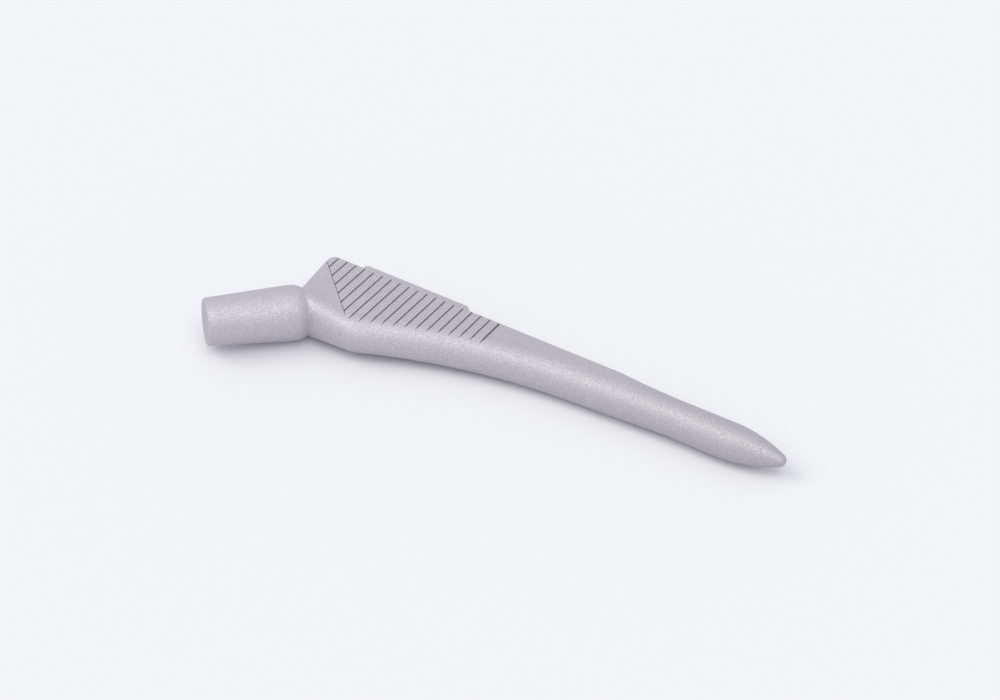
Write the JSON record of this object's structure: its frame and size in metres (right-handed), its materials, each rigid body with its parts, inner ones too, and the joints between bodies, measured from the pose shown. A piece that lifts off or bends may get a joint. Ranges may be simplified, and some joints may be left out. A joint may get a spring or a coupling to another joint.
{
  "type": "hip implant stem",
  "caption": "Tapered femoral hip stem with a grooved, flat-sided body, lateral fin, angled neck and male head taper.",
  "frame": {"origin": "centre of the flat small end face of the head taper, on the stem's plane of symmetry", "axes": "+X along the straight distal stem towards its tip, +Y towards the lateral side with the fin, +Z square to the flat sides, which lie level"},
  "size_m": [0.1479, 0.044, 0.014],
  "materials": {
    "stem_metal": "fine bead-blasted titanium alloy, satin grey"
  },
  "bodies": {
    "root": {"hip_stem": "stem_metal"}
  },
  "joints": []
}
